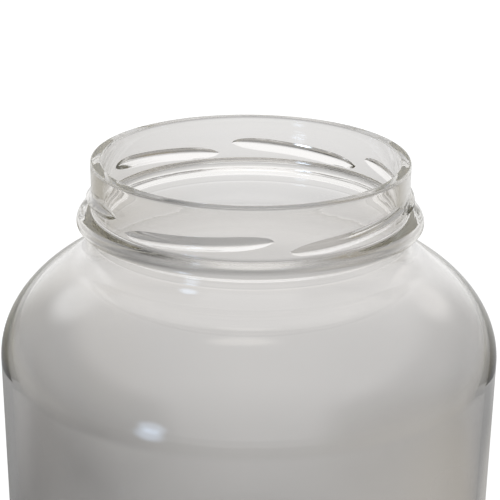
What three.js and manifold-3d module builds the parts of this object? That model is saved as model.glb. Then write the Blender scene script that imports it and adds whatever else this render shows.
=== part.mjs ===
// Three-litre jar of clear pressed and blown glass, with a six-lug mouth for a twist-on cap.
// Millimetres, +Z up. The origin is the centre of the base, on the surface that the jar stands on.
import * as THREE from 'three';
import { ParametricGeometry } from 'three/addons/geometries/ParametricGeometry.js';
import { mergeVertices } from 'three/addons/utils/BufferGeometryUtils.js';
import Module from 'manifold-3d';

// Overall form.
const height = 240;
const bodyRadius = 77;
const bodyWall = 2.9;

// Mouth: a straight neck whose flat lip carries the cap's gasket.
const neckRadius = 48;
const boreRadius = 44.6;
const lipOuterRounding = 0.65;
const lipInnerRounding = 0.6;

// Bead under the lugs: its top slopes from a crease at the neck to a rounded edge, over a short collar.
const beadDrop = 15.05;
const beadTilt = 15.3;
const beadRadius = 52.6;
const beadEdge = 2.2;
const beadEdgeReach = 2.6;
const beadBellyDrop = 19.1;
const beadFootDrop = 20.5;
const beadHollow = 0.55;
const beadHollowRise = 0.15;
const beadCrease = 0.75;
const collarRadius = 48.85;

// Shoulder: quarters of ellipses outside and inside, eased into the collar and into the bore.
const shoulderDrop = 61;
const shoulderRise = 37.2;
const shoulderReach = 62;
const innerShoulderDrop = 60.2;
const innerShoulderRise = 34.35;
const collarEase = 6.35;
const collarEaseRise = 6.6;
const boreEase = 7.65;
const boreEaseRise = 9.1;

// Heel, ring that the jar stands on, and raised middle of the base.
const heelHeight = 24;
const ringOuterRadius = 58;
const ringInnerRadius = 51;
const ringRounding = 2.5;
const ringRise = 1.5;
const baseRise = 6;
const baseThickness = 6.5;
const baseCrown = 0.5;
const floorRadius = 50;

// Lugs: low at one end, rising the way a right-hand thread does.
const lugCount = 6;
const lugArc = 54;
const lugStartAngle = 43.5;
const lugDrop = 12.9;
const lugRise = 3.6;
const lugHeight = 4.2;
const lugProud = 1.6;
const lugTaper = 0.25;
const lugRoot = 0.9;

// Outline of a lug's section: shares of how far it stands out, and of its height up from its ridge.
const lugOutline = [[0, -0.5], [0.8, -0.2], [1, -0.04], [0.8, 0.12], [0, 0.5]];

// Facets: steps along each curve of the profile, round the jar and along a lug.
const undersideSteps = 5;
const ringSteps = 2;
const heelSteps = 7;
const domeSteps = 10;
const easeSteps = 5;
const hollowSteps = 2;
const bellySteps = 5;
const edgeSteps = 4;
const creaseSteps = 3;
const lipSteps = 2;
const innerHeelSteps = 6;
const floorSteps = 4;
const sidesPerLug = 10;
const lugSteps = 15;
const weldDistance = 1e-3;

const sides = lugCount * sidesPerLug;
const innerRadius = bodyRadius - bodyWall;
const shoulderAxis = bodyRadius - shoulderReach;

const wasm = await Module();
wasm.setup();

function arc(centreRadius, level, radialSize, axialSize, fromDegrees, toDegrees, steps) {
  const from = THREE.MathUtils.degToRad(fromDegrees);
  const to = THREE.MathUtils.degToRad(toDegrees);
  const clockwise = toDegrees < fromDegrees;
  const curve = new THREE.EllipseCurve(centreRadius, level, radialSize, axialSize, from, to, clockwise);
  return curve.getPoints(steps);
}

function at(radius, level) {
  return new THREE.Vector2(radius, level);
}

function ease(start, corner, end, steps) {
  return new THREE.QuadraticBezierCurve(start, corner, end).getPoints(steps);
}

// A quarter of an ellipse over the straight side wall, and the straight neck line eased into it.
function shoulderArc(sideRadius, drop, rise, neckLine, easeReach, easeRise) {
  const level = height - drop;
  const reach = sideRadius - shoulderAxis;
  const meetRadius = neckLine + easeReach;
  const share = (meetRadius - shoulderAxis) / reach;
  const meetAngle = Math.acos(share);
  const meetLevel = level + rise * Math.sin(meetAngle);
  const slope = rise * share / (reach * Math.sin(meetAngle));
  const corner = at(neckLine, meetLevel + slope * easeReach);
  const start = at(neckLine, corner.y + easeRise);
  const meetDegrees = THREE.MathUtils.radToDeg(meetAngle);
  const dome = arc(shoulderAxis, level, reach, rise, 0, meetDegrees, domeSteps);
  return [...dome, ...ease(at(meetRadius, meetLevel), corner, start, easeSteps).slice(1)];
}

// The bead's section, from the collar under it to the neck over it.
function beadLine() {
  const slope = Math.tan(THREE.MathUtils.degToRad(beadTilt));
  const top = height - beadDrop;
  const tip = at(beadRadius, top - slope * (beadRadius - neckRadius));
  const foot = at(collarRadius, height - beadFootDrop);
  const hollow = ease(
    at(collarRadius, foot.y - beadHollow),
    foot,
    at(collarRadius + beadHollow, foot.y + beadHollowRise), hollowSteps);
  const belly = ease(
    hollow[hollowSteps],
    at(beadRadius, height - beadBellyDrop),
    at(beadRadius, tip.y - beadEdge), bellySteps);
  const edge = ease(
    belly[bellySteps],
    tip,
    at(beadRadius - beadEdgeReach, tip.y + slope * beadEdgeReach), edgeSteps);
  const crease = ease(
    at(neckRadius + beadCrease, top - slope * beadCrease),
    at(neckRadius, top),
    at(neckRadius, top + beadCrease), creaseSteps);
  return [...hollow, ...belly.slice(1), ...edge.slice(1), ...crease];
}

// Profile from the middle of the underside, up the outside, over the lip and down the inside.
function jarProfile() {
  const ringStart = at(ringInnerRadius - ringRounding, ringRise);
  const underside = ease(
    at(0, baseRise),
    at(ringInnerRadius * baseCrown, baseRise),
    ringStart, undersideSteps);
  const ringEdge = ease(
    ringStart,
    at(ringInnerRadius - ringRounding / 2, 0),
    at(ringInnerRadius, 0), ringSteps);
  const heel = arc(
    ringOuterRadius, heelHeight,
    bodyRadius - ringOuterRadius, heelHeight, -90, 0, heelSteps);
  const shoulder = shoulderArc(
    bodyRadius, shoulderDrop, shoulderRise,
    collarRadius, collarEase, collarEaseRise);
  const lipOutside = arc(
    neckRadius - lipOuterRounding, height - lipOuterRounding,
    lipOuterRounding, lipOuterRounding, 0, 90, lipSteps);
  const lipInside = arc(
    boreRadius + lipInnerRounding, height - lipInnerRounding,
    lipInnerRounding, lipInnerRounding, 90, 180, lipSteps);
  const innerShoulder = shoulderArc(
    innerRadius, innerShoulderDrop, innerShoulderRise,
    boreRadius, boreEase, boreEaseRise).reverse();
  const innerHeel = arc(
    floorRadius, heelHeight,
    innerRadius - floorRadius, heelHeight - baseThickness, 0, -90, innerHeelSteps);
  const crown = baseThickness + baseRise;
  const floor = ease(
    at(floorRadius, baseThickness),
    at(floorRadius * baseCrown, crown),
    at(0, crown), floorSteps);
  return [
    ...underside, ...ringEdge.slice(1), ...heel, ...shoulder, ...beadLine(),
    ...lipOutside, ...lipInside, ...innerShoulder, ...innerHeel, ...floor.slice(1),
  ];
}

// Joins corners that coincide and drops the triangles that close up to a line.
function weld(geometry) {
  geometry.deleteAttribute('normal');
  geometry.deleteAttribute('uv');
  const merged = mergeVertices(geometry, weldDistance);
  const corners = [];
  for (let i = 0; i < merged.index.count; i += 3) {
    const [a, b, c] = [0, 1, 2].map((k) => merged.index.getX(i + k));
    if (a !== b && b !== c && c !== a) corners.push(a, b, c);
  }
  merged.setIndex(corners);
  return merged;
}

function toSolid(geometry) {
  const welded = weld(geometry);
  return new wasm.Manifold(new wasm.Mesh({
    numProp: 3,
    vertProperties: new Float32Array(welded.attributes.position.array),
    triVerts: new Uint32Array(welded.index.array),
  }));
}

function toGeometry(solid) {
  const mesh = solid.getMesh();
  const geometry = new THREE.BufferGeometry();
  geometry.setAttribute('position', new THREE.BufferAttribute(mesh.vertProperties, 3));
  geometry.setIndex(new THREE.BufferAttribute(mesh.triVerts, 1));
  const welded = weld(geometry);
  welded.computeVertexNormals();
  return welded;
}

// Section of a lug at full size: outwards from the neck's wall, and up from the lug's ridge.
const lugFace = lugOutline.map(([out, up]) => [out * lugProud, up * lugHeight]);
const lugSection = [[-lugRoot, lugFace[0][1]], ...lugFace, [-lugRoot, lugFace[lugFace.length - 1][1]]];

// One lug: its section swept up a slope, with a rounded end that runs into the wall at each side.
function lug(startDegrees) {
  const place = (step, around, target) => {
    const [out, up] = lugSection[Math.round(around * lugSection.length) % lugSection.length];
    const along = (1 - Math.cos(step * Math.PI)) / 2;
    const fromEnd = Math.min(along / lugTaper, (1 - along) / lugTaper, 1);
    const size = Math.sqrt(1 - (1 - fromEnd) ** 2);
    const radius = neckRadius - lugRoot + (out + lugRoot) * size;
    const angle = THREE.MathUtils.degToRad(startDegrees + along * lugArc);
    const level = height - lugDrop + along * lugRise + up * size;
    target.set(radius * Math.cos(angle), radius * Math.sin(angle), level);
  };
  return new ParametricGeometry(place, lugSteps, lugSection.length);
}

function glassJar() {
  const turned = new THREE.LatheGeometry(jarProfile(), sides);
  turned.rotateX(Math.PI / 2);
  let jar = toSolid(turned);
  for (let i = 0; i < lugCount; i += 1) {
    jar = jar.add(toSolid(lug(lugStartAngle + i * 360 / lugCount)));
  }
  const glass = new THREE.MeshStandardMaterial({ color: 0xd3d1cf, roughness: 0.03, metalness: 0 });
  const mesh = new THREE.Mesh(toGeometry(jar), glass);
  mesh.name = 'glass_jar';
  return mesh;
}

const jar = new THREE.Group();
jar.add(glassJar());

export default jar;
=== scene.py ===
"""Glass jar with a six-lug mouth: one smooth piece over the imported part, with its stage."""

import math

import bpy
from bpy.props import FloatProperty, FloatVectorProperty, IntProperty, PointerProperty
from mathutils import Euler, Matrix, Vector


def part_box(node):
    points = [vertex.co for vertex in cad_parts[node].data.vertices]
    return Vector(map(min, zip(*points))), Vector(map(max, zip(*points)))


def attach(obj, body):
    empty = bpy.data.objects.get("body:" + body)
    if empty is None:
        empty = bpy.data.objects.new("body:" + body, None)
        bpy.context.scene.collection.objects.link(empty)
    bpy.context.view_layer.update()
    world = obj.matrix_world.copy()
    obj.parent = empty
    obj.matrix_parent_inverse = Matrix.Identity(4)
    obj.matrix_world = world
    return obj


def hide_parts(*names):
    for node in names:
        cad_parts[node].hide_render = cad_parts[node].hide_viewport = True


bl_info = {
    "name": "Glass jar with a lug mouth",
    "version": (1, 0, 0),
    "blender": (4, 5, 0),
    "location": "View3D > Sidebar > Glass jar",
    "description": "Turns a three-litre glass jar with six lugs and sets its studio",
    "category": "Add Mesh",
}

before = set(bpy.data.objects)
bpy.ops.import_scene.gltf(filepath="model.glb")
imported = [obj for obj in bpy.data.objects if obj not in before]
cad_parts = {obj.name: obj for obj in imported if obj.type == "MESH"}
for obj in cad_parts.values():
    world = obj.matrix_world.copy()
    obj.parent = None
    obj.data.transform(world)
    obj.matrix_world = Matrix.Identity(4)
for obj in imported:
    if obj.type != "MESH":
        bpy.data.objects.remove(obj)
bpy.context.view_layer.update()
JAR_LOW, JAR_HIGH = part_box("glass_jar")


def length(label, help_text, value):
    """A size in metres that a user can change."""
    return FloatProperty(name=label, description=help_text, default=value, unit="LENGTH", precision=5)


def angle(label, help_text, degrees):
    """An angle that a user can change."""
    return FloatProperty(name=label, description=help_text, default=math.radians(degrees), subtype="ANGLE")


def share(label, help_text, value):
    """A plain number that a user can change."""
    return FloatProperty(name=label, description=help_text, default=value, precision=4)


def colour(label, help_text, value):
    """A colour that a user can change."""
    return FloatVectorProperty(name=label, description=help_text, default=value, size=3, subtype="COLOR")


class JarSizes(bpy.types.PropertyGroup):
    """Sizes of the jar, the same as those of its solid."""

    height: length("Height", "From the standing ring to the lip", JAR_HIGH.z)
    body_radius: length("Body radius", "Half the width of the body", JAR_HIGH.x)
    body_wall: length("Body wall", "Thickness of the body's wall", 0.0029)
    neck_radius: length("Neck radius", "Outside of the straight neck", 0.048)
    bore_radius: length("Bore radius", "Inside of the neck", 0.0446)
    lip_outer_rounding: length("Lip outer rounding", "Rounding at the lip's outer edge", 0.00065)
    lip_inner_rounding: length("Lip inner rounding", "Rounding at the lip's inner edge", 0.0006)
    bead_drop: length("Bead drop", "From the lip down to the crease over the bead", 0.01505)
    bead_tilt: angle("Bead tilt", "How steeply the bead's top slopes", 15.3)
    bead_radius: length("Bead radius", "Outside of the bead under the lugs", 0.0526)
    bead_edge: length("Bead edge", "Rounding down the bead's face from its edge", 0.0022)
    bead_edge_reach: length("Bead edge reach", "Rounding in along the bead's top from its edge", 0.0026)
    bead_belly_drop: length("Bead belly drop", "From the lip down to where the bead's face turns in", 0.0191)
    bead_foot_drop: length("Bead foot drop", "From the lip down to the bead's foot", 0.0205)
    bead_hollow: length("Bead hollow", "Hollow rounding at the bead's foot", 0.00055)
    bead_hollow_rise: length("Bead hollow rise", "Height of that hollow on the bead", 0.00015)
    bead_crease: length("Bead crease", "Rounding where the bead meets the neck", 0.00075)
    collar_radius: length("Collar radius", "Outside of the collar under the bead", 0.04885)
    parting_drop: length("Parting drop", "From the lip down to the mould's parting line", 0.0229)
    parting_proud: length("Parting proud", "How far the parting line stands out", 0.00005)
    shoulder_drop: length("Shoulder drop", "From the lip down to the shoulder's foot", 0.061)
    shoulder_rise: length("Shoulder rise", "Height of the shoulder's ellipse", 0.0372)
    shoulder_reach: length("Shoulder reach", "Width of the shoulder's ellipse", 0.062)
    inner_shoulder_drop: length("Inner shoulder drop", "From the lip down to the inner shoulder's foot", 0.0602)
    inner_shoulder_rise: length("Inner shoulder rise", "Height of the inner shoulder's ellipse", 0.03435)
    collar_ease: length("Collar ease", "Width of the curve from shoulder to collar", 0.00635)
    collar_ease_rise: length("Collar ease rise", "Height of that curve on the collar", 0.0066)
    bore_ease: length("Bore ease", "Width of the curve from the bore to the shoulder", 0.00765)
    bore_ease_rise: length("Bore ease rise", "Height of that curve in the bore", 0.0091)
    heel_height: length("Heel height", "Height of the rounded heel", 0.024)
    ring_outer_radius: length("Ring outer radius", "Outside of the ring that the jar stands on", 0.058)
    ring_inner_radius: length("Ring inner radius", "Inside of that ring", 0.051)
    ring_rounding: length("Ring rounding", "Rounding on the ring's inside", 0.0025)
    ring_rise: length("Ring rise", "Height at which that rounding meets the base", 0.0015)
    base_rise: length("Base rise", "How far the base's middle is pushed up", 0.006)
    base_thickness: length("Base thickness", "Thickness of the base over the ring", 0.0065)
    floor_radius: length("Floor radius", "Radius of the inside floor", 0.05)
    lug_count: IntProperty(name="Lugs", description="Lugs round the neck", default=6, min=1)
    lug_arc: angle("Lug arc", "Angle that one lug takes up", 54)
    lug_start: angle("Lug start", "Angle of the first lug's low end from +X", 43.5)
    lug_drop: length("Lug drop", "From the lip down to a lug's low end", 0.0129)
    lug_rise: length("Lug rise", "How far a lug climbs along its length", 0.0036)
    lug_height: length("Lug height", "Height of a lug's section", 0.0042)
    lug_proud: length("Lug proud", "How far a lug stands out of the neck", 0.0016)
    lug_taper: share("Lug taper", "Share of a lug's length that narrows at each end", 0.25)
    turns: IntProperty(name="Steps round", description="Steps of the turned form", default=360, min=24)


class GlassLook(bpy.types.PropertyGroup):
    """Colours and finish of the glass."""

    tint: colour("Tint", "What one wall of the glass lets through", (0.993, 0.982, 0.973))
    refraction: share("Refraction", "Index of refraction of the glass", 1.52)
    cast: colour("Cast", "Colour that thick glass takes", (0.868, 0.861, 0.83))
    cast_density: share("Cast density", "How fast thick glass takes its colour, per metre", 20.0)
    ripple: length("Ripple", "Height of the faint ripple in the surface", 0.00003)
    skin: share("Skin", "Roughness of the smoothest glass", 0.0)
    chill: share("Chill", "Roughness that the mould's chill adds in patches", 0.02)


class StageLook(bpy.types.PropertyGroup):
    """Camera, floor and lights."""

    camera_distance: length("Camera distance", "From the middle of the lip", 0.4222)
    camera_rise: angle("Camera rise", "Elevation of the camera over the lip", 17.07)
    camera_pitch: angle("Camera pitch", "How far the camera looks down", 20.87)
    camera_roll: angle("Camera roll", "How far the camera leans", 0.6)
    lens: FloatProperty(name="Lens", description="Focal length of the camera", default=101.2, unit="CAMERA")
    stage_radius: length("Floor radius", "Radius of the pale floor", 1.6)
    lane_turn: angle("Lane turn", "Where the floor is brightest in glass, from straight behind towards +X", 9)
    air_level: share("Air level", "Strength of the white air for light that spreads", 0.75)
    sky_level: share("Sky level", "Strength of the air overhead in gloss and glass", 1.0)
    side_level: share("Side level", "Strength of the air beside the jar in gloss and glass", 0.4)


def scene_group(name):
    """One of the scene's groups of settings."""
    return getattr(bpy.context.scene, name)


# Profile of the jar

DOME_STEPS, EASE_STEPS = 30, 16
HOLLOW_STEPS, BELLY_STEPS, EDGE_STEPS, BEAD_TOP_STEPS, CREASE_STEPS = 6, 18, 12, 8, 8
BASE_STEPS, RING_STEPS, LAND_STEPS, HEEL_STEPS, WALL_STEPS, BORE_STEPS = 10, 5, 3, 18, 6, 8
LIP_OUTER_STEPS, LIP_INNER_STEPS = 10, 8
# Half the height of the parting line, and how far it stands out at shares of that half
PARTING_HALF = 0.0003
PARTING_SHAPE = ((-1, 0), (-0.5, 0.3), (0, 1), (0.5, 0.3), (1, 0))
# Rows of the neck between lugs and lip, as distances under the lip's rounding
NECK_ROWS = (0.0024, 0.0012, 0.0004)
# Rows of a lug's section, from under its lower edge at -1 to over its upper edge at 1, bunched until they are raised
LUG_ROWS = (-1.1, -1.04, -1.0, -0.94, -0.8, -0.6, -0.4, -0.2, -0.08,
            0.08, 0.2, 0.4, 0.6, 0.8, 0.94, 1.0, 1.04, 1.1)
ROW_STEP = 0.00002
ROW_TOLERANCE, RADIUS_TOLERANCE = 0.2, 0.00001
LUG_CLEARANCE, LUG_THINNEST = 0.0001, 0.0001
RIDGE_ROUNDING = 0.12


def arc(centre, level, wide, tall, first, last, steps):
    """Points of an ellipse's arc, from one angle to another in degrees."""
    points = []
    for i in range(steps + 1):
        turn = math.radians(first + (last - first) * i / steps)
        points.append((centre + wide * math.cos(turn), level + tall * math.sin(turn)))
    return points


def ease(start, corner, end, steps):
    """Points of a curve that leaves start and reaches end towards one corner."""
    points = []
    for i in range(steps + 1):
        t = i / steps
        a, b, c = (1 - t) ** 2, 2 * t * (1 - t), t ** 2
        points.append((a * start[0] + b * corner[0] + c * end[0], a * start[1] + b * corner[1] + c * end[1]))
    return points


def straight(start, end, steps):
    """Points along a line, without its two ends."""
    return [(start[0] + (end[0] - start[0]) * i / steps, start[1] + (end[1] - start[1]) * i / steps)
            for i in range(1, steps)]


def shoulder_line(s, side_radius, drop, rise, neck_line, reach_in, rise_in):
    """A quarter of an ellipse over the straight side wall, and the straight neck line eased into it."""
    axis, level = s.body_radius - s.shoulder_reach, s.height - drop
    reach = side_radius - axis
    meet_radius = neck_line + reach_in
    part = (meet_radius - axis) / reach
    meet_angle = math.acos(part)
    meet_level = level + rise * math.sin(meet_angle)
    slope = rise * part / (reach * math.sin(meet_angle))
    corner = (neck_line, meet_level + slope * reach_in)
    start = (neck_line, corner[1] + rise_in)
    dome = arc(axis, level, reach, rise, 0, math.degrees(meet_angle), DOME_STEPS)
    return dome + ease((meet_radius, meet_level), corner, start, EASE_STEPS)[1:]


def with_parting(s, line):
    """Lays the mould's fine parting line on an outside line that climbs towards the bead."""
    level, margin = s.height - s.parting_drop, PARTING_HALF * 1.5
    below = [point for point in line if point[1] < level - margin]
    above = [point for point in line if point[1] > level + margin]
    if not above:
        above = [(s.collar_radius, level + PARTING_HALF * 2)]
    (r0, z0), (r1, z1) = below[-1], above[0]
    ridge = []
    for share_up, proud in PARTING_SHAPE:
        z = level + share_up * PARTING_HALF
        ridge.append((r0 + (r1 - r0) * (z - z0) / (z1 - z0) + proud * s.parting_proud, z))
    return below + ridge + above


def bead_line(s):
    """The bead's section, from the collar under it to the neck over it."""
    slope = math.tan(s.bead_tilt)
    top = s.height - s.bead_drop
    tip = (s.bead_radius, top - slope * (s.bead_radius - s.neck_radius))
    foot = (s.collar_radius, s.height - s.bead_foot_drop)
    hollow = ease((foot[0], foot[1] - s.bead_hollow), foot,
                  (foot[0] + s.bead_hollow, foot[1] + s.bead_hollow_rise), HOLLOW_STEPS)
    belly = ease(hollow[-1], (s.bead_radius, s.height - s.bead_belly_drop),
                 (s.bead_radius, tip[1] - s.bead_edge), BELLY_STEPS)
    edge = ease(belly[-1], tip, (s.bead_radius - s.bead_edge_reach, tip[1] + slope * s.bead_edge_reach), EDGE_STEPS)
    crease = ease((s.neck_radius + s.bead_crease, top - slope * s.bead_crease), (s.neck_radius, top),
                  (s.neck_radius, top + s.bead_crease), CREASE_STEPS)
    return hollow + belly[1:] + edge[1:] + straight(edge[-1], crease[0], BEAD_TOP_STEPS) + crease


def lug_floor(s):
    """Level over the bead's crease at which the rows of the lugs start."""
    return s.height - s.bead_drop + s.bead_crease + LUG_CLEARANCE


def jar_profile(s):
    """Profile from the middle of the underside, up the outside, over the lip and down the inside."""
    ring_start = (s.ring_inner_radius - s.ring_rounding, s.ring_rise)
    under = ease((0, s.base_rise), (s.ring_inner_radius / 2, s.base_rise), ring_start, BASE_STEPS)
    ring = ease(ring_start, (s.ring_inner_radius - s.ring_rounding / 2, 0), (s.ring_inner_radius, 0), RING_STEPS)[1:]
    land = straight(ring[-1], (s.ring_outer_radius, 0), LAND_STEPS)
    heel = arc(s.ring_outer_radius, s.heel_height, s.body_radius - s.ring_outer_radius, s.heel_height,
               -90, 0, HEEL_STEPS)
    collar = shoulder_line(s, s.body_radius, s.shoulder_drop, s.shoulder_rise,
                           s.collar_radius, s.collar_ease, s.collar_ease_rise)
    body = straight(heel[-1], collar[0], WALL_STEPS)
    shoulder = with_parting(s, collar)
    lugs = [(s.neck_radius, lug_floor(s) + i * ROW_STEP) for i in range(len(LUG_ROWS))]
    lip_out = arc(s.neck_radius - s.lip_outer_rounding, s.height - s.lip_outer_rounding,
                  s.lip_outer_rounding, s.lip_outer_rounding, 0, 90, LIP_OUTER_STEPS)
    neck = [(s.neck_radius, lip_out[0][1] - drop) for drop in NECK_ROWS]
    lip_in = arc(s.bore_radius + s.lip_inner_rounding, s.height - s.lip_inner_rounding,
                 s.lip_inner_rounding, s.lip_inner_rounding, 90, 180, LIP_INNER_STEPS)
    lip_land = straight(lip_out[-1], lip_in[0], LAND_STEPS)
    inner_radius = s.body_radius - s.body_wall
    inner = shoulder_line(s, inner_radius, s.inner_shoulder_drop, s.inner_shoulder_rise,
                          s.bore_radius, s.bore_ease, s.bore_ease_rise)[::-1]
    bore = straight(lip_in[-1], inner[0], BORE_STEPS)
    inner_heel = arc(s.floor_radius, s.heel_height, inner_radius - s.floor_radius,
                     s.heel_height - s.base_thickness, 0, -90, HEEL_STEPS)
    inner_body = straight(inner[-1], inner_heel[0], WALL_STEPS)
    floor_level = s.base_thickness + s.base_rise
    floor = ease(inner_heel[-1], (s.floor_radius / 2, floor_level), (0, floor_level), BASE_STEPS)[1:]
    return (under + ring + land + heel + body + shoulder + bead_line(s) + lugs + neck
            + lip_out + lip_land + lip_in + bore + inner + inner_body + inner_heel + floor)


# Modelling

WELD_DISTANCE = 0.000002


def only(piece):
    """Leaves one object selected and active."""
    bpy.ops.object.select_all(action="DESELECT")
    piece.select_set(True)
    bpy.context.view_layer.objects.active = piece


def turned(name, profile, steps):
    """A closed piece: one point drawn out along the profile, then spun round the upright axis."""
    bpy.ops.object.select_all(action="DESELECT")
    bpy.ops.mesh.primitive_plane_add(size=0.01, location=(0, 0, 0))
    piece = bpy.context.object
    piece.name = piece.data.name = name
    bpy.ops.object.mode_set(mode="EDIT")
    bpy.ops.mesh.select_all(action="SELECT")
    bpy.ops.mesh.merge(type="CENTER")
    here = (0.0, 0.0)
    for radius, level in profile:
        step = (radius - here[0], 0, level - here[1])
        if here == (0.0, 0.0):
            bpy.ops.transform.translate(value=step)
        else:
            bpy.ops.mesh.extrude_region_move(TRANSFORM_OT_translate={"value": step})
        here = (radius, level)
    bpy.ops.mesh.select_all(action="SELECT")
    bpy.ops.mesh.spin(steps=steps, angle=math.tau, center=(0, 0, 0), axis=(0, 0, 1))
    bpy.ops.mesh.select_all(action="SELECT")
    bpy.ops.mesh.remove_doubles(threshold=WELD_DISTANCE)
    bpy.ops.mesh.normals_make_consistent(inside=False)
    bpy.ops.object.mode_set(mode="OBJECT")
    return piece


def displaced(piece, weights, strength, direction):
    """Moves points by a weight each, with a Displace modifier that is applied."""
    group = piece.vertex_groups.new(name="relief")
    for index, weight in weights.items():
        group.add([index], weight, "REPLACE")
    only(piece)
    relief = piece.modifiers.new("relief", "DISPLACE")
    relief.vertex_group, relief.direction = group.name, direction
    relief.strength, relief.mid_level = strength, 0
    bpy.ops.object.modifier_apply(modifier=relief.name)
    piece.vertex_groups.remove(piece.vertex_groups["relief"])


def lug_place(s, turn):
    """How large a lug is at an angle round the neck, from 0 to 1, and the level of its ridge."""
    pitch = math.tau / s.lug_count
    along = ((turn - s.lug_start) % pitch) / s.lug_arc
    if along <= 1:
        from_end = min(along / s.lug_taper, (1 - along) / s.lug_taper, 1)
        size = math.sqrt(1 - (1 - from_end) ** 2)
        return size, s.height - s.lug_drop + along * s.lug_rise
    back = (along - 1) * s.lug_arc / (pitch - s.lug_arc)
    return 0, s.height - s.lug_drop + (1 - back) * s.lug_rise


def lug_section(row):
    """Height of a lug's section at a row, from 0 at its edges to 1 on its rounded ridge."""
    full = math.hypot(1, RIDGE_ROUNDING)
    return max(0, (full - math.hypot(row, RIDGE_ROUNDING)) / (full - RIDGE_ROUNDING))


def raise_lugs(piece, s):
    """Draws the bunched rows over the bead out into six sloping lugs."""
    proud, lift, reach = {}, {}, s.lug_drop
    for point in piece.data.vertices:
        x, y, z = point.co
        row = (z - lug_floor(s)) / ROW_STEP
        index = round(row)
        if abs(math.hypot(x, y) - s.neck_radius) > RADIUS_TOLERANCE or abs(row - index) > ROW_TOLERANCE:
            continue
        if not 0 <= index < len(LUG_ROWS):
            continue
        size, ridge = lug_place(s, math.atan2(y, x))
        place = LUG_ROWS[index]
        level = max(ridge + place * max(size * s.lug_height / 2, LUG_THINNEST), z)
        proud[point.index] = size * lug_section(place)
        lift[point.index] = (level - z) / reach
    if len(lift) != s.turns * len(LUG_ROWS):
        raise RuntimeError(f"the lugs found {len(lift)} points")
    displaced(piece, proud, s.lug_proud, "NORMAL")
    displaced(piece, lift, reach, "Z")


# Nodes

def feed(tree, socket, value):
    """Links a socket to another one, or sets it to a plain value."""
    if isinstance(value, bpy.types.NodeSocket):
        tree.links.new(value, socket)
    else:
        socket.default_value = value


def number(tree, operation, *values):
    """A sum with numbers, each a plain one or a socket."""
    node = tree.nodes.new("ShaderNodeMath")
    node.operation = operation
    for socket, value in zip(node.inputs, values):
        feed(tree, socket, value)
    return node.outputs["Value"]


def vector(tree, operation, *values):
    """A sum with vectors, which comes to a number for a length or a dot product."""
    node = tree.nodes.new("ShaderNodeVectorMath")
    node.operation = operation
    for socket, value in zip(node.inputs, values):
        feed(tree, socket, value)
    return node.outputs["Value" if operation in ("LENGTH", "DOT_PRODUCT") else "Vector"]


def between(tree, value, limits, kind="LINEAR", ends=(0, 1)):
    """A number's place between two limits, as a number between two ends."""
    place = tree.nodes.new("ShaderNodeMapRange")
    place.interpolation_type = kind
    place.inputs["From Min"].default_value, place.inputs["From Max"].default_value = limits
    place.inputs["To Min"].default_value, place.inputs["To Max"].default_value = ends
    tree.links.new(value, place.inputs["Value"])
    return place.outputs["Result"]


def own_place(tree):
    """A piece's own coordinates."""
    return tree.nodes.new("ShaderNodeTexCoord").outputs["Object"]


def noise(tree, place, stretch, detail):
    """Noise on coordinates, with features of a size along each axis."""
    sized = tree.nodes.new("ShaderNodeMapping")
    sized.inputs["Scale"].default_value = stretch
    tree.links.new(place, sized.inputs["Vector"])
    texture = tree.nodes.new("ShaderNodeTexNoise")
    texture.inputs["Scale"].default_value = 1
    texture.inputs["Detail"].default_value = detail
    tree.links.new(sized.outputs["Vector"], texture.inputs["Vector"])
    return texture.outputs["Fac"]


def tint(value):
    """A grey level or a colour, as the four numbers of a colour socket."""
    return (*value, 1) if isinstance(value, tuple) else (value, value, value, 1)


def mixed(tree, factor, first, second):
    """A colour between two others, each a grey level, a colour or a socket."""
    mix = tree.nodes.new("ShaderNodeMix")
    mix.data_type = "RGBA"
    tree.links.new(factor, mix.inputs["Factor"])
    ends = [socket for socket in mix.inputs if socket.type == "RGBA"]
    for socket, value in zip(ends, (first, second)):
        feed(tree, socket, value if isinstance(value, bpy.types.NodeSocket) else tint(value))
    return next(socket for socket in mix.outputs if socket.type == "RGBA")


def ray_mix(tree, camera, glass, other):
    """A colour that differs for camera rays, for rays off gloss or through glass, and for the rest."""
    path = tree.nodes.new("ShaderNodeLightPath").outputs
    shine = number(tree, "MAXIMUM", path["Is Glossy Ray"], path["Is Transmission Ray"])
    return mixed(tree, path["Is Camera Ray"], mixed(tree, shine, other, glass), camera)


def ramp(tree, factor, stops):
    """A run of grey levels or colours at places from 0 to 1."""
    fade = tree.nodes.new("ShaderNodeValToRGB")
    while len(fade.color_ramp.elements) < len(stops):
        fade.color_ramp.elements.new(0.5)
    for element, (position, value) in zip(fade.color_ramp.elements, stops):
        element.position, element.color = position, tint(value)
    tree.links.new(factor, fade.inputs["Fac"])
    return fade.outputs["Color"]


# Glass

# Features per metre along each axis: long swells, marks of the mould, streaks round the mouth, and chilled patches
SWELL, BRUSHED, STREAK, PATCH = (28, 28, 22), (330, 330, 40), (2.2, 2.2, 520), (60, 60, 90)
BRUSHED_SHARE = 0.12
# The streaks grow with distance outside the neck, so that the bead has the highest, and fade in over the mouth's foot
BEAD_REACH, BEAD_GAIN = (0.0006, 0.0018), (0.35, 4)
MOUTH_FADE = (-0.004, 0.002)
PATCH_EDGE = (0.45, 0.7)


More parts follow.
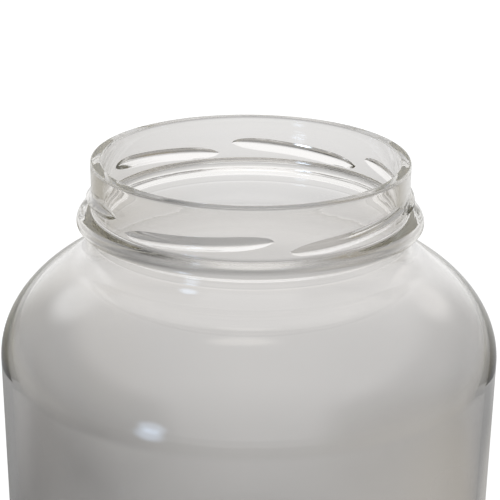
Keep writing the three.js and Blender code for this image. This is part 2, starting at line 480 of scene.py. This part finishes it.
def moulded_ripple():
    """Ripple of moulded glass: long swells all over, and streaks round the mouth above a level."""
    tree = bpy.data.node_groups.new("moulded_ripple", "ShaderNodeTree")
    for name, way in (("Mouth Level", "INPUT"), ("Neck Radius", "INPUT"), ("Height", "OUTPUT"), ("Chill", "OUTPUT")):
        tree.interface.new_socket(name, in_out=way, socket_type="NodeSocketFloat")
    source, result = tree.nodes.new("NodeGroupInput").outputs, tree.nodes.new("NodeGroupOutput").inputs
    place = own_place(tree)
    parts = tree.nodes.new("ShaderNodeSeparateXYZ")
    tree.links.new(place, parts.inputs[0])
    level = vector(tree, "MULTIPLY", place, (1, 1, 0))
    radius = vector(tree, "LENGTH", level)
    upright = tree.nodes.new("ShaderNodeCombineXYZ")
    tree.links.new(number(tree, "ADD", radius, parts.outputs["Z"]), upright.inputs["Z"])
    girdle = vector(tree, "ADD", vector(tree, "NORMALIZE", level), upright.outputs["Vector"])
    proud = number(tree, "SUBTRACT", radius, source["Neck Radius"])
    gain = between(tree, proud, BEAD_REACH, ends=BEAD_GAIN)
    over = number(tree, "SUBTRACT", parts.outputs["Z"], source["Mouth Level"])
    mouth = between(tree, over, MOUTH_FADE, "SMOOTHSTEP")
    streak = noise(tree, girdle, STREAK, 2)
    marks = number(tree, "MULTIPLY_ADD", noise(tree, place, BRUSHED, 1), BRUSHED_SHARE, streak)
    shown = number(tree, "MULTIPLY", marks, mouth)
    height = number(tree, "MULTIPLY_ADD", shown, gain, noise(tree, place, SWELL, 1))
    tree.links.new(height, result["Height"])
    tree.links.new(noise(tree, place, PATCH, 3), result["Chill"])
    return tree


def clear_glass():
    """Clear glass: a faint tint at each wall, a warm cast in the thick parts, a slight ripple and chill."""
    look, s = scene_group("glass_look"), scene_group("jar_sizes")
    material = bpy.data.materials.new("clear_glass")
    material.use_nodes = True
    tree = material.node_tree
    nodes, links = tree.nodes, tree.links
    shader = nodes["Principled BSDF"]
    shader.inputs["Base Color"].default_value = (*look.tint, 1)
    shader.inputs["IOR"].default_value = look.refraction
    shader.inputs["Transmission Weight"].default_value = 1
    cast = nodes.new("ShaderNodeVolumeAbsorption")
    cast.inputs["Color"].default_value = (*look.cast, 1)
    cast.inputs["Density"].default_value = look.cast_density
    links.new(cast.outputs["Volume"], nodes["Material Output"].inputs["Volume"])
    ripple = nodes.new("ShaderNodeGroup")
    ripple.node_tree = moulded_ripple()
    ripple.inputs["Mouth Level"].default_value = s.height - s.bead_foot_drop
    ripple.inputs["Neck Radius"].default_value = s.neck_radius
    rough = between(tree, ripple.outputs["Chill"], PATCH_EDGE, ends=(look.skin, look.chill))
    links.new(rough, shader.inputs["Roughness"])
    bump = nodes.new("ShaderNodeBump")
    bump.inputs["Strength"].default_value = 1
    bump.inputs["Distance"].default_value = look.ripple
    links.new(ripple.outputs["Height"], bump.inputs["Height"])
    links.new(bump.outputs["Normal"], shader.inputs["Normal"])
    return material


# Stage

LIGHT_BOUNCES = 128
SENSOR_WIDTH, CLIP_START = 36, 0.01
# Where the air turns dim on either side, and where the air overhead starts, as shares of a direction
SIDE_AIR, HIGH_AIR = (0.42, 0.7), (0.45, 0.68)
# Light of the floor in glass, at distances from the jar's middle: in the lit lane behind it, a painted pool of light,
# and elsewhere. Both hold a painted pool of light under the jar's middle and a painted shadow in a ring round it.
LANE_LIGHT = ((0.05, 0.82), (0.11, 0.37), (0.16, 0.30), (0.22, 0.42), (0.33, 0.57), (0.42, 0.595), (0.51, 0.68),
              (0.6, 0.73), (0.83, 0.82), (1.4, 1))
SIDE_LIGHT = ((0.05, 0.82), (0.11, 0.37), (0.25, 0.27), (0.42, 0.33), (0.55, (0.40, 0.39, 0.36)),
              (0.7, (0.46, 0.44, 0.39)), (0.9, (0.45, 0.44, 0.42)), (1.4, 0.4))
# The painted lane of light starts behind the jar and fades out as its direction turns away
LANE_START, LANE_EDGE = 0.12, (0.66, 0.985)
# Paint of the floor at shares of its radius, darker towards the jar as a painted shadow, and how much of the light on
# it is taken off what it shows
FLOOR_SHADED_PAINT = ((0.07, 0.17), (0.25, 0.3), (0.8, 0.5))
CAMERA_SHARE, LAMP_LIGHT = 0.7, 0.11
FLOOR_LEVEL, FLOOR_SIDES = -0.0002, 128
# Share of a panel's size from its middle where it has faded out, and where it is full
PANEL_FADE = (0.5, 0.1)
SHOULDER = (0, 0, 0.2)
# Panels that only gloss and glass see: name, place, aim, width, height, level and colour
PANELS = (
    ("overhead_softbox", (-0.03, 0.05, 1.3), (-0.03, 0.05, 0), 0.6, 0.2, 2.0, (1, 0.98, 0.95)),
    ("window_front", (-0.476, -0.57, 0.151), SHOULDER, 0.24, 0.28, 6, (0.66, 0.8, 1)),
    ("window_left", (-0.92, 0.93, 0.95), SHOULDER, 0.9, 0.8, 1.5, (0.98, 0.99, 1)),
    ("window_right", (0.92, 1.0, 0.86), SHOULDER, 0.8, 0.7, 1.2, (1, 0.98, 0.96)),
    ("card_left", (-0.3, -0.03, 0.001), (-0.3, -0.03, 1), 0.6, 0.5, 0.04, (1, 1, 1)),
    ("card_right", (0.3, 0.0, 0.001), (0.3, 0.0, 1), 0.44, 0.4, 0.34, (1, 0.9, 0.72)),
    # glow_right is a painted pool of light on the floor behind the jar to the right
    ("glow_right", (0.13, 0.2, 0.002), (0.13, 0.2, 1), 0.26, 0.3, 0.46, (1, 0.98, 0.95)),
)


def white_air(look):
    """World: white to the camera, and to gloss and glass white with dim air on either side."""
    world = bpy.data.worlds.new("white_air")
    bpy.context.scene.world = world
    world.use_nodes = True
    tree = world.node_tree
    backdrop = tree.nodes["Background"]
    parts = tree.nodes.new("ShaderNodeSeparateXYZ")
    tree.links.new(tree.nodes.new("ShaderNodeTexCoord").outputs["Generated"], parts.inputs[0])
    beside = between(tree, number(tree, "ABSOLUTE", parts.outputs["X"]), SIDE_AIR, "SMOOTHSTEP")
    overhead = between(tree, parts.outputs["Z"], HIGH_AIR, "SMOOTHSTEP")
    shown = mixed(tree, overhead, mixed(tree, beside, 1, look.side_level), look.sky_level)
    tree.links.new(ray_mix(tree, 1, shown, look.air_level), backdrop.inputs["Color"])
    backdrop.inputs["Strength"].default_value = 1


def pale_floor(look):
    """Round pale floor with a painted shadow round the jar and a painted pool of light under it, that shows white to
    the camera but keeps the jar's shadow.
    """
    bpy.ops.object.select_all(action="DESELECT")
    bpy.ops.mesh.primitive_circle_add(vertices=FLOOR_SIDES, radius=look.stage_radius, fill_type="NGON",
                                      location=(0, 0, FLOOR_LEVEL))
    floor = bpy.context.object
    floor.name = "floor"
    bpy.ops.object.transform_apply(location=True)
    material = bpy.data.materials.new("pale_floor")
    material.use_nodes = True
    tree = material.node_tree
    shader = tree.nodes["Principled BSDF"]
    place = own_place(tree)
    reach = between(tree, vector(tree, "LENGTH", place), (0, look.stage_radius))
    heading = vector(tree, "NORMALIZE", vector(tree, "SUBTRACT", place, (0, LANE_START, 0)))
    lane_way = (math.sin(look.lane_turn), math.cos(look.lane_turn), 0)
    lit = between(tree, vector(tree, "DOT_PRODUCT", heading, lane_way), LANE_EDGE)
    # Floor light seen in glass, with a painted pool of light under the jar and in the lane behind it, and a painted
    # shadow round the jar
    side_light, lane_light = [ramp(tree, reach, [(radius / look.stage_radius, value) for radius, value in light])
                              for light in (SIDE_LIGHT, LANE_LIGHT)]
    shown = mixed(tree, lit, side_light, lane_light)
    # Paint that darkens towards the jar as a painted shadow
    shaded_paint = ramp(tree, reach, FLOOR_SHADED_PAINT)
    tree.links.new(shaded_paint, shader.inputs["Base Color"])
    shader.inputs["Roughness"].default_value = 0.9
    shader.inputs["Specular IOR Level"].default_value = 0.1
    to_camera = vector(tree, "MULTIPLY_ADD", shaded_paint, (-look.air_level * CAMERA_SHARE,) * 3, (1, 1, 1))
    to_glass = vector(tree, "MULTIPLY_ADD", shaded_paint, (-look.air_level - LAMP_LIGHT,) * 3, shown)
    tree.links.new(ray_mix(tree, to_camera, to_glass, 0), shader.inputs["Emission Color"])
    shader.inputs["Emission Strength"].default_value = 1
    floor.data.materials.append(material)


def soft_panel(name, place, aim, wide, tall, level, tone):
    """Panel with soft edges that only gloss and glass see: a light over the jar, a dark card beside it, or a painted
    pool of light on the floor.
    """
    bpy.ops.object.select_all(action="DESELECT")
    bpy.ops.mesh.primitive_plane_add(size=1, location=place)
    panel = bpy.context.object
    panel.name = name
    panel.scale = (wide, tall, 1)
    panel.rotation_euler = (Vector(aim) - Vector(place)).to_track_quat("Z", "Y").to_euler()
    material = bpy.data.materials.new(name)
    material.use_nodes = True
    tree = material.node_tree
    nodes, links = tree.nodes, tree.links
    nodes.remove(nodes["Principled BSDF"])
    full = between(tree, vector(tree, "LENGTH", own_place(tree)), PANEL_FADE, "SMOOTHERSTEP")
    clear, glow = nodes.new("ShaderNodeBsdfTransparent"), nodes.new("ShaderNodeEmission")
    glow.inputs["Color"].default_value, glow.inputs["Strength"].default_value = (*tone, 1), level
    mix = nodes.new("ShaderNodeMixShader")
    links.new(full, mix.inputs["Fac"])
    links.new(clear.outputs[0], mix.inputs[1])
    links.new(glow.outputs[0], mix.inputs[2])
    links.new(mix.outputs[0], nodes["Material Output"].inputs["Surface"])
    panel.data.materials.append(material)
    panel.visible_camera = panel.visible_diffuse = panel.visible_shadow = False


def soft_lamp(name, place, aim, wide, tall, power):
    """Soft lamp that lights the floor without a reflection of its own."""
    bpy.ops.object.select_all(action="DESELECT")
    bpy.ops.object.light_add(type="AREA", location=place)
    lamp = bpy.context.object
    lamp.name = name
    lamp.data.shape = "RECTANGLE"
    lamp.data.size, lamp.data.size_y = wide, tall
    lamp.data.energy = power
    lamp.rotation_euler = (Vector(aim) - Vector(place)).to_track_quat("-Z", "Y").to_euler()
    lamp.visible_camera = lamp.visible_glossy = lamp.visible_transmission = False


def jar_camera(look, s):
    """Camera at the photograph's place and angle."""
    bpy.ops.object.select_all(action="DESELECT")
    rise, down = look.camera_rise, look.camera_pitch
    place = (0, -look.camera_distance * math.cos(rise), s.height + look.camera_distance * math.sin(rise))
    bpy.ops.object.camera_add(location=place)
    camera = bpy.context.object
    camera.name = "jar_camera"
    turn = Euler((math.pi / 2 - down, 0, 0)).to_matrix() @ Matrix.Rotation(look.camera_roll, 3, "Z")
    camera.rotation_euler = turn.to_euler()
    camera.data.lens, camera.data.sensor_width = look.lens, SENSOR_WIDTH
    camera.data.clip_start = CLIP_START
    bpy.context.scene.camera = camera


# Operators and panel

class GLASSJAR_OT_jar(bpy.types.Operator):
    """Turns the glass jar, raises its lugs and gives it its glass"""

    bl_idname = "glassjar.jar"
    bl_label = "Glass jar"
    bl_options = {"REGISTER", "UNDO"}

    def execute(self, context):
        s = scene_group("jar_sizes")
        jar = turned("jar_glass", jar_profile(s), s.turns)
        raise_lugs(jar, s)
        only(jar)
        bpy.ops.object.shade_smooth()
        jar.data.materials.append(clear_glass())
        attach(jar, "root")
        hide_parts("glass_jar")
        return {"FINISHED"}


class GLASSJAR_OT_stage(bpy.types.Operator):
    """Sets the camera, the pale floor, the white air and the soft lamps"""

    bl_idname = "glassjar.stage"
    bl_label = "Stage"
    bl_options = {"REGISTER", "UNDO"}

    def execute(self, context):
        look, s = scene_group("stage_look"), scene_group("jar_sizes")
        context.scene.view_settings.view_transform = "Standard"
        context.scene.cycles.max_bounces = LIGHT_BOUNCES
        context.scene.cycles.glossy_bounces = LIGHT_BOUNCES
        context.scene.cycles.transmission_bounces = LIGHT_BOUNCES
        jar_camera(look, s)
        white_air(look)
        pale_floor(look)
        soft_lamp("overhead_lamp", (-0.2, -0.3, 1.2), (0, 0, 0), 0.6, 0.6, 2)
        for panel in PANELS:
            soft_panel(*panel)
        return {"FINISHED"}


class GLASSJAR_PT_sidebar(bpy.types.Panel):
    """Sizes, finish and stage of the glass jar"""

    bl_idname = "GLASSJAR_PT_sidebar"
    bl_label = "Glass jar"
    bl_space_type = "VIEW_3D"
    bl_region_type = "UI"
    bl_category = "Glass jar"

    def draw(self, context):
        for operator in (GLASSJAR_OT_jar, GLASSJAR_OT_stage):
            self.layout.operator(operator.bl_idname)
        for name in GROUPS:
            group = scene_group(name)
            box = self.layout.box()
            for key in group.__annotations__:
                box.prop(group, key)


GROUPS = {"jar_sizes": JarSizes, "glass_look": GlassLook, "stage_look": StageLook}
CLASSES = (*GROUPS.values(), GLASSJAR_OT_jar, GLASSJAR_OT_stage, GLASSJAR_PT_sidebar)


def register():
    """Adds the classes, and the groups of settings to the scene."""
    for cls in CLASSES:
        bpy.utils.register_class(cls)
    for name, group in GROUPS.items():
        setattr(bpy.types.Scene, name, PointerProperty(type=group))


def unregister():
    """Takes away what register added."""
    for name in GROUPS:
        delattr(bpy.types.Scene, name)
    for cls in reversed(CLASSES):
        bpy.utils.unregister_class(cls)


def main():
    """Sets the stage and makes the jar."""
    register()
    bpy.ops.glassjar.stage()
    bpy.ops.glassjar.jar()


if __name__ == "__main__":
    main()
